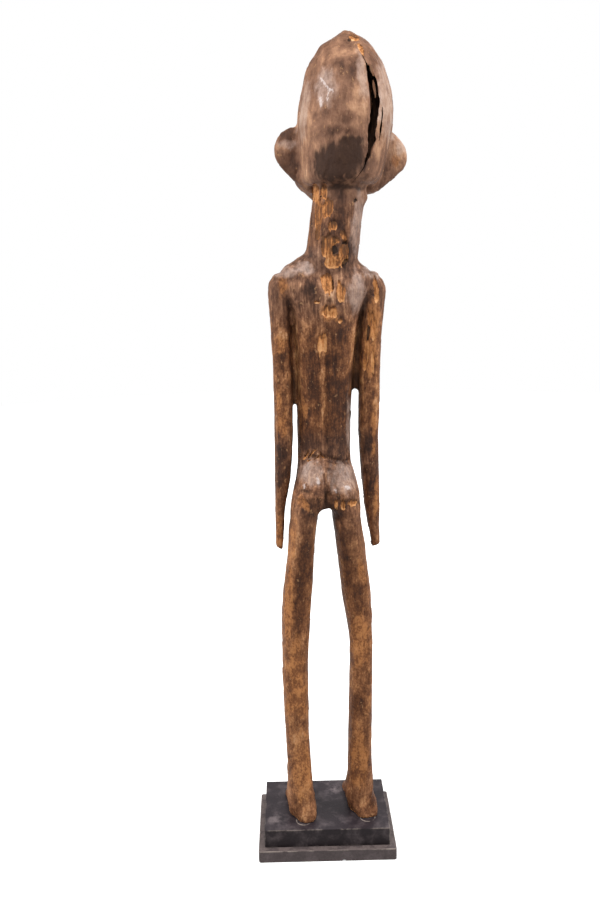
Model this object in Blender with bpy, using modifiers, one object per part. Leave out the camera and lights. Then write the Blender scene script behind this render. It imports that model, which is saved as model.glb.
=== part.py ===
"""An ancestor figure carved from one piece of wood, standing on a stepped plinth of two painted boards.

Metres, +Z up. The origin is the centre of the plinth's underside. The figure faces -Y, turned a little on it.
"""

import math

import bmesh
import bpy
import numpy as np
from mathutils import Matrix, Vector

# Plinth sizes
BLOCK_LENGTH = 0.127
BLOCK_DEPTH = 0.0865
BLOCK_HEIGHT = 0.019
SLAB_OVERHANG = 0.00635
SLAB_HEIGHT = 0.0127
BLOCK_CORNER_ROUND = 0.0010
SLAB_CORNER_ROUND = 0.0022
CORNER_STEPS = 3
EDGE_WEAR = 0.0006
EDGE_WEAR_STEPS = 2
EDGE_WEAR_ANGLE = math.radians(40)
SHARP_ANGLE = math.radians(30)
CHIP_LENGTH = 0.0060
CHIP_HEIGHT = 0.0030
CHIP_DEPTH = 0.0045
CHIP_FROM_CENTRE = 0.0165
CHIP_SIDES = 6
CHIP_INNER_SHARE = 0.5

# Fits: the narrow gap between pieces that rest on each other
SEAT_GAP = 0.0003

# Figure sizes
FIGURE_HEIGHT = 0.760
FIGURE_TURN = math.radians(6.0)

# The carving below is written in millimetres of a figure this tall, and grows with FIGURE_HEIGHT
CARVED_HEIGHT = 760.0
UNIT = FIGURE_HEIGHT / CARVED_HEIGHT

# How finely the carving is worked out
SKIN_CELL = 1.7
SOFTENING = 0.5
SOFTENING_STEPS = 7
KEPT_FACES = 0.049
RING_STEP = 3.0
RING_SIDES = 40
ROUND_SEGMENTS = 32
ROUND_RINGS = 20
WASTE_HEIGHT = 30
WASTE_REACH = 90
ARM_WASTE = 7.5

# Colours and roughness
WOOD_COLOUR = (0.17, 0.09, 0.05)
WOOD_ROUGHNESS = 0.62
SLAB_COLOUR = (0.06, 0.052, 0.056)
SLAB_ROUGHNESS = 0.6
BLOCK_COLOUR = (0.035, 0.030, 0.034)
BLOCK_ROUGHNESS = 0.55

# Sections of the limbs: height, x, y, half width, half depth, squareness (2 is an ellipse, more is boxier)
TORSO = (
    (332, -4, 7, 31, 25, 2.4),
    (337, -4, 6.5, 32.5, 26.5, 2.4),
    (345, -4, 5.5, 31.5, 26.5, 2.4),
    (357, -4, 3.5, 29, 25, 2.4),
    (367, -3.5, 1, 26.8, 23, 2.4),
    (373, -3.5, -1, 25.8, 21, 2.4),
    (378, -3.5, -1.5, 25.5, 20.5, 2.4),
    (404, -3.5, -1.5, 25.5, 20.5, 2.4),
    (434, -4, -1, 25.8, 21, 2.4),
    (490, -5, 1, 28.6, 23.5, 2.5),
    (520, -6, 2, 32.8, 24.5, 2.5),
    (538, -7, 2, 41, 24, 2.5),
    (548, -6.5, 2, 44, 21, 2.3),
    (556, -5.5, 2, 37, 18, 2.2),
    (563, -6.5, 2, 28.5, 16, 2.1),
    (570, -10.5, 2, 21, 14, 2.0),
)
NECK = (
    (545, -8, 2, 25, 20, 2.0),
    (566, -12, 3, 24.2, 23, 2.0),
    (600, -16.5, 4, 23.7, 23.5, 2.0),
    (622, -20, 4, 23.8, 23.5, 2.0),
    (650, -22, 2, 24.5, 24, 2.0),
)
SKULL = (
    (629, -22, -8, 30, 39.5, 2.2),
    (632, -22.5, -9, 34, 44, 2.2),
    (643, -24, -10.5, 37.5, 47.5, 2.2),
    (661, -26.5, -12, 40.5, 50, 2.1),
    (684, -28, -13, 43, 51, 2.1),
    (711, -29, -13, 40, 46, 2.0),
    (737, -28.8, -12, 30.5, 35, 2.0),
    (751, -29.8, -11, 18.2, 20.5, 2.0),
    (759, -31, -9, 7, 8.5, 2.0),
    (765, -31.2, -8, 2, 3, 2.0),
)
JAW = (
    (608, -22, -44, 9, 12, 2.0),
    (615, -23, -40, 19, 19, 2.2),
    (622, -24, -35, 29, 25, 2.4),
    (629, -25, -34, 38, 27, 2.6),
    (636, -26, -34, 43, 27, 2.6),
    (645, -26.5, -34, 44.5, 27, 2.5),
    (662, -27, -33, 42, 28, 2.4),
    (682, -27, -28, 36, 26, 2.2),
)
EAR_FLANGE = (
    (622, -26.5, -20, 31, 10, 3.0),
    (629, -27, -20, 40.5, 10, 3.0),
    (636, -27.5, -20, 48.5, 9, 3.0),
    (643, -27.2, -20, 55.5, 8, 3.0),
    (650, -26, -20, 60, 7.5, 3.0),
    (657, -25, -20, 61.5, 7.5, 3.0),
    (664, -24, -20, 60.5, 7.5, 3.0),
    (670, -23, -20, 57.5, 7, 3.0),
    (676, -21.5, -20, 52.5, 6, 3.0),
    (681, -20, -20, 42, 5, 3.0),
)
LEFT_ARM = (
    (278, 42.4, -3, 3.4, 6, 2.6),
    (300, 41.5, -3, 3.9, 7, 2.6),
    (334, 40, -2, 5.3, 9, 2.6),
    (356, 37.5, -1, 7.2, 10.5, 2.6),
    (376, 36.5, 0, 8.1, 11.5, 2.6),
    (404, 35.6, 1, 8.6, 12, 2.6),
    (490, 36.4, 2, 8.6, 13, 2.6),
    (520, 37.4, 2, 9, 13.5, 2.6),
    (538, 38.2, 2, 9, 13, 2.4),
    (551, 37.5, 2, 6.5, 10, 2.2),
)
RIGHT_ARM = (
    (277, -54.8, -3, 4.0, 6, 2.6),
    (300, -52.8, -3, 5.4, 7, 2.6),
    (334, -49.8, -2, 7.8, 9, 2.6),
    (356, -48.6, -1, 8.4, 10.5, 2.6),
    (376, -47.2, 0, 8.8, 11.5, 2.6),
    (404, -46.4, 1, 9.6, 12, 2.6),
    (434, -46.8, 2, 9.8, 12.5, 2.6),
    (490, -48.4, 2, 9.6, 13, 2.6),
    (520, -51.5, 2, 9.4, 13.5, 2.6),
    (538, -52.8, 2, 9, 13, 2.4),
    (551, -50, 2, 6.5, 10, 2.2),
)
LEFT_LEG = (
    (-6, 27.6, 13, 12.5, 15, 2.8),
    (30, 27.8, 13, 13, 15, 2.8),
    (55, 28.4, 12, 12.1, 14.5, 2.8),
    (125, 30, 8, 12.3, 14.5, 2.8),
    (190, 28.8, 3, 13.2, 16, 2.8),
    (232, 26.3, 1, 14.2, 17, 2.8),
    (272, 22.5, 4, 13, 18, 2.8),
    (296, 20.8, 6, 12.6, 20, 2.6),
    (308, 20, 7, 12.8, 21, 2.5),
    (317, 18.6, 7.5, 13, 21.5, 2.4),
    (325, 18, 8, 13.2, 22, 2.4),
    (332, 13.8, 8.5, 17, 22, 2.3),
    (345, 12, 9, 16.5, 22, 2.2),
)
RIGHT_LEG = (
    (-6, -35.2, 11, 12.6, 15, 2.8),
    (30, -35, 11, 13, 15, 2.8),
    (55, -34.8, 10, 12.2, 14.5, 2.8),
    (125, -36.5, 7, 11.4, 14.5, 2.8),
    (190, -37.4, 3, 11.5, 16, 2.8),
    (232, -34, 1, 13.8, 17, 2.8),
    (272, -29.3, 4, 13.7, 18, 2.8),
    (296, -26.3, 6, 13.8, 20, 2.6),
    (308, -24.4, 7, 13.7, 21, 2.5),
    (317, -23.2, 7.5, 13.6, 21.5, 2.4),
    (325, -22.8, 8, 13.8, 22, 2.4),
    (332, -19.4, 8.5, 17, 22, 2.3),
    (345, -19, 9, 15.5, 22, 2.2),
)
# Where the arms are cut off: x, height and how steeply the cut rises outward, as an angle to the level
LEFT_ARM_END = (42, 286.5, math.radians(-30))
RIGHT_ARM_END = (-54.2, 284.5, math.radians(23))
# A foot is lofted from the heel forward: distance, x, z, half width, half height, squareness
FOOT = (
    (0, 0, 7, 7, 8, 2.2),
    (4, 0, 7.5, 9.5, 12, 2.4),
    (14, 0, 8, 11, 13, 2.6),
    (30, 0, 5, 13, 13, 2.6),
    (46, 0, 1, 15, 11, 2.6),
    (58, 0, -2, 14.5, 9, 2.6),
    (63, 0, -3, 12, 7, 2.4),
)
LEFT_HEEL = (22.5, 29.0)
RIGHT_HEEL = (-42.5, 26.0)
LEFT_FOOT_TURN = math.radians(3.0)
RIGHT_FOOT_TURN = math.radians(6.0)

# The web of wood that joins each arm to the flank: top, bottom, inner x, outer x
LEFT_WEB = (546, 430, 18, 38)
RIGHT_WEB = (546, 442, -24, -50)
WEB_Y = -4
WEB_THICKNESS = 11

# The nose, lofted upward from the nostrils
NOSE = (
    (641, -26, -62, 5, 4, 2.2),
    (644, -26, -64, 8.2, 8, 2.2),
    (648, -26, -64, 8.4, 8.6, 2.2),
    (656, -26, -62.5, 5.6, 7.4, 2.2),
    (668, -26, -61, 4.2, 5.4, 2.2),
    (679, -26, -59, 5.5, 4.2, 2.2),
)
# Rounded forms set into the face and trunk: x, y, z, then the three half sizes
FEATURES = {
    "left_eye": (-11.5, -59.8, 669, 9.2, 5.4, 4.8),
    "right_eye": (-40.5, -59.8, 669, 9.2, 5.4, 4.8),
    "upper_lip": (-26, -60.5, 633.2, 12.5, 6.2, 3.4),
    "lower_lip": (-26, -60, 626.8, 11.5, 6, 3.4),
    "chin": (-24, -51, 614, 13, 8.5, 8),
    "left_breast": (9, -15.5, 503, 15, 8.7, 13),
    "right_breast": (-21, -15.5, 503, 15, 8.7, 13),
    "navel": (-4, -21, 400, 5, 5.5, 5),
    "left_buttock": (10.5, 17.5, 343, 13.5, 16, 17),
    "right_buttock": (-18.5, 17.5, 343, 13.5, 16, 17),
    "left_knee": (25, -12, 224, 8, 6.5, 12),
    "right_knee": (-33, -12, 224, 8, 6.5, 12),
}
# How a stroke's hollow is rounded, and how fast it fades where the surface turns away
STROKE_ROUNDING = 1.5
STROKE_FACING = 1.6
# Strokes of the blade: side (1 behind, -1 in front), half width, depth (a ridge if below 0), path of (x, z)
STROKES = {
    "spine": (1, 4.5, 2.0, ((-6, 526), (-3.5, 504), (-2.3, 435), (-1.5, 382))),
    "waist_step": (1, 3.6, 2.4, ((26, 380), (-2, 379), (-16, 375), (-32, 372))),
    "upper_cleft": (1, 4.5, 2.5, ((-2, 362), (-2.5, 344))),
    "lower_cleft": (1, 4.0, 4.5, ((-2.5, 346), (-3, 322))),
    "left_socket": (-1, 13, 2.2, ((-13, 669), (-9, 669))),
    "right_socket": (-1, 13, 2.2, ((-43, 669), (-39, 669))),
    "left_brow": (-1, 4.5, -2.6, ((-21, 680), (-15, 682.5), (-8, 683), (-1, 680.5), (4, 676))),
    "right_brow": (-1, 4.5, -2.6, ((-31, 680), (-37, 682.5), (-44, 683), (-51, 680.5), (-56, 676))),
    "left_eye_slit": (-1, 1.9, 1.9, ((-19, 668.5), (-4, 668.5))),
    "right_eye_slit": (-1, 1.9, 1.9, ((-48, 668.5), (-33, 668.5))),
    "mouth": (-1, 2.2, 2.6, ((-37, 630), (-15, 630))),
    "left_ear_hollow": (-1, 6, 3.5, ((24, 664), (25, 652), (18, 643))),
    "right_ear_hollow": (-1, 6, 3.5, ((-74, 664), (-75, 652), (-68, 643))),
    "left_collar": (-1, 4, 1.5, ((-8, 556), (20, 548))),
    "right_collar": (-1, 4, 1.5, ((-14, 556), (-40, 548))),
}

# The check in the skull, which opened as the wood dried: height, x, half width at the surface
CHECK = (
    (641, -39, 0.7),
    (651, -41.5, 1.4),
    (659, -42.5, 3.2),
    (676, -44.5, 3.6),
    (688, -46, 4.2),
    (700, -46.5, 4.6),
    (709, -45.5, 4.6),
    (717, -43.5, 3.2),
    (726, -40.5, 0.8),
    (736, -37, 0.7),
)
# The narrow second check beside it
SIDE_CHECK = (
    (662, -52, 0.7),
    (673, -53, 1.3),
    (684, -53.6, 1.2),
    (692, -54.3, 0.7),
)
CHECK_MOUTH_Y = 45
CHECK_SURFACE_Y = 31
CHECK_FLOOR_Y = 4
CHECK_FLOOR_SHARE = 0.45
PITH_X = -28
PITH_PULL = 0.16


def clear_scene():
    """Removes whatever the new file came with."""
    for item in list(bpy.data.objects):
        bpy.data.objects.remove(item, do_unlink=True)


def new_collection(name):
    """A collection linked to the scene."""
    made = bpy.data.collections.new(name)
    bpy.context.scene.collection.children.link(made)
    return made


def add_object(name, mesh, collection):
    """An object for a mesh, in a collection."""
    made = bpy.data.objects.new(name, mesh)
    collection.objects.link(made)
    return made


def material(name, colour, roughness):
    """A plain material with one colour and roughness."""
    made = bpy.data.materials.new(name)
    made.use_nodes = True
    shader = made.node_tree.nodes["Principled BSDF"]
    shader.inputs["Base Color"].default_value = (*colour, 1.0)
    shader.inputs["Roughness"].default_value = roughness
    shader.inputs["Metallic"].default_value = 0.0
    made.diffuse_color = (*colour, 1.0)
    return made


def rows_between(stations):
    """Rows a ring step apart, on cubics that pass through every station."""
    table = np.array(stations, dtype=float)
    along = table[:, 0]
    slopes = np.gradient(table, along, axis=0)
    rows = []
    for i in range(len(table) - 1):
        span = along[i + 1] - along[i]
        count = max(1, round(span / RING_STEP))
        for t in np.arange(count) / count:
            start = (2 * t**3 - 3 * t**2 + 1) * table[i] + (t**3 - 2 * t**2 + t) * span * slopes[i]
            end = (3 * t**2 - 2 * t**3) * table[i + 1] + (t**3 - t**2) * span * slopes[i + 1]
            rows.append(start + end)
    rows.append(table[-1])
    return rows


def ring(row):
    """The points of one section, counter-clockwise from +X."""
    _, x, y, half_width, half_depth, squareness = row
    power = 2.0 / squareness
    points = []
    for i in range(RING_SIDES):
        angle = 2.0 * math.pi * i / RING_SIDES
        across, deep = math.cos(angle), math.sin(angle)
        across = math.copysign(abs(across) ** power, across)
        deep = math.copysign(abs(deep) ** power, deep)
        points.append((x + half_width * across, y + half_depth * deep, row[0]))
    return points


def loft(shape, stations, placed=None):
    """Adds to the bmesh a closed tube through the sections, moved by a matrix if one is given."""
    rings = []
    for row in rows_between(stations):
        points = [Vector(point) for point in ring(row)]
        if placed is not None:
            points = [placed @ point for point in points]
        rings.append([shape.verts.new(point) for point in points])
    for lower, upper in zip(rings, rings[1:]):
        for i in range(RING_SIDES):
            j = (i + 1) % RING_SIDES
            shape.faces.new((lower[i], lower[j], upper[j], upper[i]))
    shape.faces.new(list(reversed(rings[0])))
    shape.faces.new(rings[-1])


def ellipsoid(shape, x, y, z, half_x, half_y, half_z):
    """Adds a rounded form to the bmesh."""
    placed = Matrix.Translation((x, y, z)) @ Matrix.Diagonal((half_x, half_y, half_z, 1.0))
    bmesh.ops.create_uvsphere(
        shape, u_segments=ROUND_SEGMENTS, v_segments=ROUND_RINGS, radius=1.0, matrix=placed
    )


def box(shape, low, high):
    """Adds a box to the bmesh, from its lowest corner to its highest."""
    centre = (Vector(low) + Vector(high)) / 2.0
    size = Vector(high) - Vector(low)
    placed = Matrix.Translation(centre) @ Matrix.Diagonal((*size, 1.0))
    bmesh.ops.create_cube(shape, size=1.0, matrix=placed)


def web(shape, top, bottom, inner, outer):
    """Adds the wood left between an arm and the flank."""
    low = (min(inner, outer), WEB_Y - WEB_THICKNESS / 2, bottom)
    high = (max(inner, outer), WEB_Y + WEB_THICKNESS / 2, top)
    box(shape, low, high)


def foot(shape, heel, turn):
    """Adds a foot that runs forward from its heel."""
    upright = Matrix(((1, 0, 0, 0), (0, 0, -1, 0), (0, 1, 0, 0), (0, 0, 0, 1)))
    placed = Matrix.Translation((heel[0], heel[1], 0)) @ Matrix.Rotation(turn, 4, "Z") @ upright
    loft(shape, FOOT, placed)


def roughed_out():
    """The forms of the figure as they overlap, before they are fused."""
    shape = bmesh.new()
    for stations in (TORSO, NECK, SKULL, JAW, EAR_FLANGE, LEFT_ARM, RIGHT_ARM, LEFT_LEG, RIGHT_LEG, NOSE):
        loft(shape, stations)
    foot(shape, LEFT_HEEL, LEFT_FOOT_TURN)
    foot(shape, RIGHT_HEEL, RIGHT_FOOT_TURN)
    web(shape, *LEFT_WEB)
    web(shape, *RIGHT_WEB)
    for sizes in FEATURES.values():
        ellipsoid(shape, *sizes)
    bmesh.ops.recalc_face_normals(shape, faces=shape.faces)
    mesh = bpy.data.meshes.new("rough")
    shape.to_mesh(mesh)
    shape.free()
    return mesh


def evaluated_mesh(item):
    """A new mesh of the object as its modifiers leave it."""
    bpy.context.view_layer.update()
    graph = bpy.context.evaluated_depsgraph_get()
    return bpy.data.meshes.new_from_object(item.evaluated_get(graph))


def fused(collection):
    """The figure's forms grown into one skin, with the joins between them softened."""
    rough = add_object("rough", roughed_out(), collection)
    skin = rough.modifiers.new("skin", "REMESH")
    skin.mode = "VOXEL"
    skin.voxel_size = SKIN_CELL
    soften = rough.modifiers.new("soften", "SMOOTH")
    soften.factor = SOFTENING
    soften.iterations = SOFTENING_STEPS
    mesh = evaluated_mesh(rough)
    bpy.data.objects.remove(rough, do_unlink=True)
    return mesh


def distance_to_path(x, z, path):
    """How far each point is, seen square to the front, from a path of (x, z) points."""
    nearest = np.full(len(x), np.inf)
    for (x1, z1), (x2, z2) in zip(path, path[1:]):
        along_x, along_z = x2 - x1, z2 - z1
        length = along_x**2 + along_z**2
        share = np.clip(((x - x1) * along_x + (z - z1) * along_z) / length, 0.0, 1.0)
        nearest = np.minimum(nearest, np.hypot(x - x1 - share * along_x, z - z1 - share * along_z))
    return nearest


def carve(mesh):
    """Cuts the grooves into the skin, from behind or from the front."""
    count = len(mesh.vertices)
    places = np.empty(count * 3, dtype=np.float32)
    normals = np.empty(count * 3, dtype=np.float32)
    mesh.vertices.foreach_get("co", places)
    mesh.vertices.foreach_get("normal", normals)
    places = places.reshape(count, 3)
    normals = normals.reshape(count, 3)
    depth_now = np.zeros(count)
    for side, half_width, depth, path in STROKES.values():
        away = distance_to_path(places[:, 0], places[:, 2], path) / half_width
        profile = np.clip(1.0 - away**2, 0.0, 1.0) ** STROKE_ROUNDING
        facing = np.clip(STROKE_FACING * side * normals[:, 1], 0.0, 1.0)
        depth_now += side * depth * profile * facing
    places[:, 1] -= depth_now
    mesh.vertices.foreach_set("co", places.ravel())
    mesh.update()


def boolean(item, name, cutter):
    """Cuts one closed form out of another."""
    cut = item.modifiers.new(name, "BOOLEAN")
    cut.operation = "DIFFERENCE"
    cut.solver = "EXACT"
    cut.object = cutter


def cutter_object(name, shape, collection):
    """A cutter from a bmesh, shown as wire and left out of renders."""
    mesh = bpy.data.meshes.new(name)
    shape.to_mesh(mesh)
    shape.free()
    made = add_object(name, mesh, collection)
    made.hide_render = True
    made.display_type = "WIRE"
    return made


def sole_cutter(collection):
    """All the wood below the soles."""
    shape = bmesh.new()
    box(shape, (-WASTE_REACH, -WASTE_REACH, -WASTE_HEIGHT), (WASTE_REACH, WASTE_REACH, 0))
    shape.transform(Matrix.Scale(UNIT, 4))
    return cutter_object("sole_cutter", shape, collection)


def crown_cutter(collection):
    """What has broken off above the crown."""
    shape = bmesh.new()
    low = (-WASTE_REACH, -WASTE_REACH, CARVED_HEIGHT)
    high = (WASTE_REACH, WASTE_REACH, CARVED_HEIGHT + WASTE_HEIGHT)
    box(shape, low, high)
    shape.transform(Matrix.Scale(UNIT, 4))
    return cutter_object("crown_cutter", shape, collection)


def arm_end_cutter(name, end, collection):
    """What was cut off below an arm, slantwise."""
    x, height, slant = end
    shape = bmesh.new()
    box(shape, (-ARM_WASTE, -WASTE_REACH, -WASTE_HEIGHT), (ARM_WASTE, WASTE_REACH, 0))
    shape.transform(Matrix.Translation((x, 0, height)) @ Matrix.Rotation(slant, 4, "Y"))
    shape.transform(Matrix.Scale(UNIT, 4))
    return cutter_object(name, shape, collection)


def check_cutter(name, stations, collection):
    """The opening of a check: wide at the surface, and narrowing as it runs in towards the pith."""
    shape = bmesh.new()
    levels = []
    for height, x, half_width in stations:
        slope = (x - PITH_X) * PITH_PULL / (CHECK_MOUTH_Y - CHECK_FLOOR_Y)
        mouth_x = x + slope * (CHECK_MOUTH_Y - CHECK_SURFACE_Y)
        floor_x = x - slope * (CHECK_SURFACE_Y - CHECK_FLOOR_Y)
        floor_width = half_width * CHECK_FLOOR_SHARE
        corners = (
            (mouth_x + half_width, CHECK_MOUTH_Y),
            (mouth_x - half_width, CHECK_MOUTH_Y),
            (floor_x - floor_width, CHECK_FLOOR_Y),
            (floor_x + floor_width, CHECK_FLOOR_Y),
        )
        levels.append([shape.verts.new((corner_x, y, height)) for corner_x, y in corners])
    for lower, upper in zip(levels, levels[1:]):
        for i in range(4):
            j = (i + 1) % 4
            shape.faces.new((lower[i], lower[j], upper[j], upper[i]))
    shape.faces.new(levels[0])
    shape.faces.new(levels[-1])
    bmesh.ops.recalc_face_normals(shape, faces=shape.faces)
    shape.transform(Matrix.Scale(UNIT, 4))
    return cutter_object(name, shape, collection)


def figure(collection, cutter_collection):
    """The whole carving, from the broken crown to the soles."""
    mesh = fused(collection)
    carve(mesh)
    mesh.transform(Matrix.Scale(UNIT, 4))
    mesh.name = "figure"
    mesh.shade_smooth()
    mesh.materials.clear()
    mesh.materials.append(material("patinated_wood", WOOD_COLOUR, WOOD_ROUGHNESS))
    made = add_object("figure", mesh, collection)
    thin = made.modifiers.new("fewer_faces", "DECIMATE")
    thin.ratio = KEPT_FACES
    boolean(made, "soles", sole_cutter(cutter_collection))
    boolean(made, "crown", crown_cutter(cutter_collection))
    boolean(made, "left_arm_end", arm_end_cutter("left_arm_end_cutter", LEFT_ARM_END, cutter_collection))
    boolean(made, "right_arm_end", arm_end_cutter("right_arm_end_cutter", RIGHT_ARM_END, cutter_collection))
    boolean(made, "check", check_cutter("check_cutter", CHECK, cutter_collection))
    boolean(made, "side_check", check_cutter("side_check_cutter", SIDE_CHECK, cutter_collection))
    return made


def board(name, length, depth, height, bottom, corner_round, collection):
    """A board of the plinth, centred on the origin's upright, with round corners and rubbed edges."""
    shape = bmesh.new()
    box(shape, (-length / 2, -depth / 2, bottom), (length / 2, depth / 2, bottom + height))
    upright = [edge for edge in shape.edges if edge.verts[0].co.xy == edge.verts[1].co.xy]
    bmesh.ops.bevel(
        shape, geom=upright, offset=corner_round, segments=CORNER_STEPS, profile=0.5, affect="EDGES"
    )
    mesh = bpy.data.meshes.new(name)
    shape.to_mesh(mesh)
    shape.free()
    mesh.shade_smooth()
    mesh.set_sharp_from_angle(angle=SHARP_ANGLE)
    made = add_object(name, mesh, collection)
    wear = made.modifiers.new("rubbed_edges", "BEVEL")
    wear.width = EDGE_WEAR
    wear.segments = EDGE_WEAR_STEPS
    wear.limit_method = "ANGLE"
    wear.angle_limit = EDGE_WEAR_ANGLE
    return made


def chip_cutter(slab_depth, collection):
    """The splinter lost from the slab's lower edge, behind the figure."""
    shape = bmesh.new()
    placed = Matrix.Translation((-CHIP_FROM_CENTRE, slab_depth / 2, 0.0))
    placed @= Matrix.Diagonal((CHIP_LENGTH / 2, 1.0, CHIP_HEIGHT, 1.0))
    placed @= Matrix.Rotation(math.radians(90), 4, "X")
    bmesh.ops.create_cone(
        shape,
        cap_ends=True,
        segments=CHIP_SIDES,
        radius1=CHIP_INNER_SHARE,
        radius2=1.0,
        depth=2 * CHIP_DEPTH,
        matrix=placed,
    )
    bmesh.ops.recalc_face_normals(shape, faces=shape.faces)
    return cutter_object("chip_cutter", shape, collection)


def plinth(collection, cutter_collection):
    """The slab on the floor, and the block on it that the figure stands on."""
    slab_length = BLOCK_LENGTH + 2 * SLAB_OVERHANG
    slab_depth = BLOCK_DEPTH + 2 * SLAB_OVERHANG
    slab = board("plinth_slab", slab_length, slab_depth, SLAB_HEIGHT, 0.0, SLAB_CORNER_ROUND, collection)
    slab.data.materials.append(material("slab_paint", SLAB_COLOUR, SLAB_ROUGHNESS))
    boolean(slab, "chip", chip_cutter(slab_depth, cutter_collection))
    block_bottom = SLAB_HEIGHT + SEAT_GAP
    block = board(
        "plinth_block", BLOCK_LENGTH, BLOCK_DEPTH, BLOCK_HEIGHT, block_bottom, BLOCK_CORNER_ROUND, collection
    )
    block.data.materials.append(material("block_paint", BLOCK_COLOUR, BLOCK_ROUGHNESS))


def set_on_plinth(carving, collection, cutter_collection):
    """Stands the carving and its cutters on the block, turned a little."""
    stance = add_object("stance", None, collection)
    stance.location.z = SLAB_HEIGHT + BLOCK_HEIGHT + 2 * SEAT_GAP
    stance.rotation_euler.z = FIGURE_TURN
    for item in (carving, *cutter_collection.objects):
        item.parent = stance


clear_scene()
parts = new_collection("lobi_ancestor_figure")
figure_cutters = new_collection("figure_cutters")
plinth_cutters = new_collection("plinth_cutters")
set_on_plinth(figure(parts, figure_cutters), parts, figure_cutters)
plinth(parts, plinth_cutters)
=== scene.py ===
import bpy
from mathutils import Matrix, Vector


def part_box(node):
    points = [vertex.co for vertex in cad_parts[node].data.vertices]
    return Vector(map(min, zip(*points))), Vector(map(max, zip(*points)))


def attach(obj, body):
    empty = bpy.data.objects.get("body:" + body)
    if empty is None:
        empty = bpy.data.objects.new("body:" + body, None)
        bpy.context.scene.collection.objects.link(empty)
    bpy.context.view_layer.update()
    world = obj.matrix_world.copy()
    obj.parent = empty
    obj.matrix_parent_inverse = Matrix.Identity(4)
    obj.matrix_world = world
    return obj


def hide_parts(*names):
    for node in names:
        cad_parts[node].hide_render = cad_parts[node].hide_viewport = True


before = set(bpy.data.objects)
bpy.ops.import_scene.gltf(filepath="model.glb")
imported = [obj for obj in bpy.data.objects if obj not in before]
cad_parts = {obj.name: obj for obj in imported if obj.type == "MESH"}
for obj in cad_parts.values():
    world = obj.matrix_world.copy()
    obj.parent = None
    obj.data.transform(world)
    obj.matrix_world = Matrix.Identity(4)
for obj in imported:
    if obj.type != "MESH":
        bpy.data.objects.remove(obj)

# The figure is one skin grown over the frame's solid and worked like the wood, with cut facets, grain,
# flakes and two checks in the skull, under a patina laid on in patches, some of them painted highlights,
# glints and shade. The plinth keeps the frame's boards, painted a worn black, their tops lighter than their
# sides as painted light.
"""The looks of a carved wooden ancestor figure on a stepped, painted plinth.

The figure is one skin grown over the frame's solid and worked like the wood, with cut facets, grain, flakes
and two checks in the skull, under a patina laid on in patches. The plinth keeps the frame's boards, painted
a worn black.
"""

import math

import bmesh
import bpy
import numpy as np
from mathutils import Matrix, Vector

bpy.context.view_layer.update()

# The camera, with the photograph's frame
CAMERA_PLACE = Vector((0.02666, 0.84570, 0.60711))
CAMERA_YAW = math.radians(0.450)
CAMERA_PITCH = math.radians(12.730)
CAMERA_ROLL = math.radians(-1.097)
PHOTO_WIDTH = 600
PHOTO_HEIGHT = 900
FOCAL_PIXELS = 900
SENSOR_MM = 36

# The figure's own frame: millimetres, feet at 0, turned on its plinth
MM = 0.001
FIGURE_TURN = math.radians(6)
SOLE_HEIGHT = 0.0323

# The skin: its cell in millimetres, its most triangles, and how its coarse facets are faired out
SKIN_CELL = 1.2
SKIN_LIMIT = 191000
FAIRING_STEPS = 14
FAIRING_IN = 0.5
FAIRING_OUT = -0.53

# Patches of the surface seen in the photograph: column and row of the centre, half width and half height in
# pixels, and where the patch leans, how far it goes sideways for each pixel down
BARE = dict(
    crown_break=(354, 38, 4.4, 3.8, 0.2),
    crown_gouge=(361, 49, 2.4, 5.5, 0.35),
    neck_flake_a=(315.6, 193, 3.4, 9, 0.05),
    neck_flake_b=(323.6, 191.5, 3.8, 7.5),
    neck_flake_c=(319.4, 212, 3.4, 15.5, -0.06),
    neck_flake_d=(328.2, 208.5, 5.2, 9, -0.15),
    neck_flake_e=(332.5, 225.5, 4.4, 4.6),
    neck_flake_f=(317.5, 234.5, 2.2, 5.6),
    neck_flake_g=(344, 237, 2.6, 4.6, 0.2),
    neck_base_left=(327, 247, 5.4, 10.5),
    neck_base_top=(334, 242, 5.5, 3.4),
    neck_base_right=(343.5, 253, 4.6, 10.5, -0.1),
    neck_base_low=(334, 262, 7.5, 6.5),
    nape_flake=(328, 283.5, 5.6, 11, 0.1),
    back_flake_b=(340.5, 292.5, 4.6, 9.5, -0.05),
    back_flake_c=(330, 312, 7, 6, -0.1),
    back_fleck=(317, 302.3, 3.2, 1.6),
    back_fleck_b=(340.6, 320, 1.3, 2.6),
    spine_chip=(322.6, 344, 4, 10.5),
    shoulder_split=(376, 289, 2.4, 12, 0.1),
    arm_split_top=(373.4, 328, 2, 14),
    arm_split_mid=(366.5, 352, 2.6, 14, -0.1),
    arm_split_low=(373.4, 363, 1.5, 13),
    arm_splint=(369.3, 318, 1.3, 9),
    buttock_notch_a=(336.5, 504, 1.9, 5),
    buttock_notch_b=(343.5, 503.5, 2.1, 5.5),
    buttock_notch_c=(352.5, 502.5, 4.2, 3.6, -0.4),
    waist_torn_a=(306, 455, 1.3, 3.6, -0.8),
    waist_torn_b=(311.5, 453.5, 1.1, 4, -0.9),
    waist_torn_c=(317, 457.2, 1.1, 3.6, -1),
    waist_torn_d=(321.5, 454.5, 1, 3.6, 0.8),
    waist_torn_e=(309, 459.4, 2.6, 0.9, -0.3),
)
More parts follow.
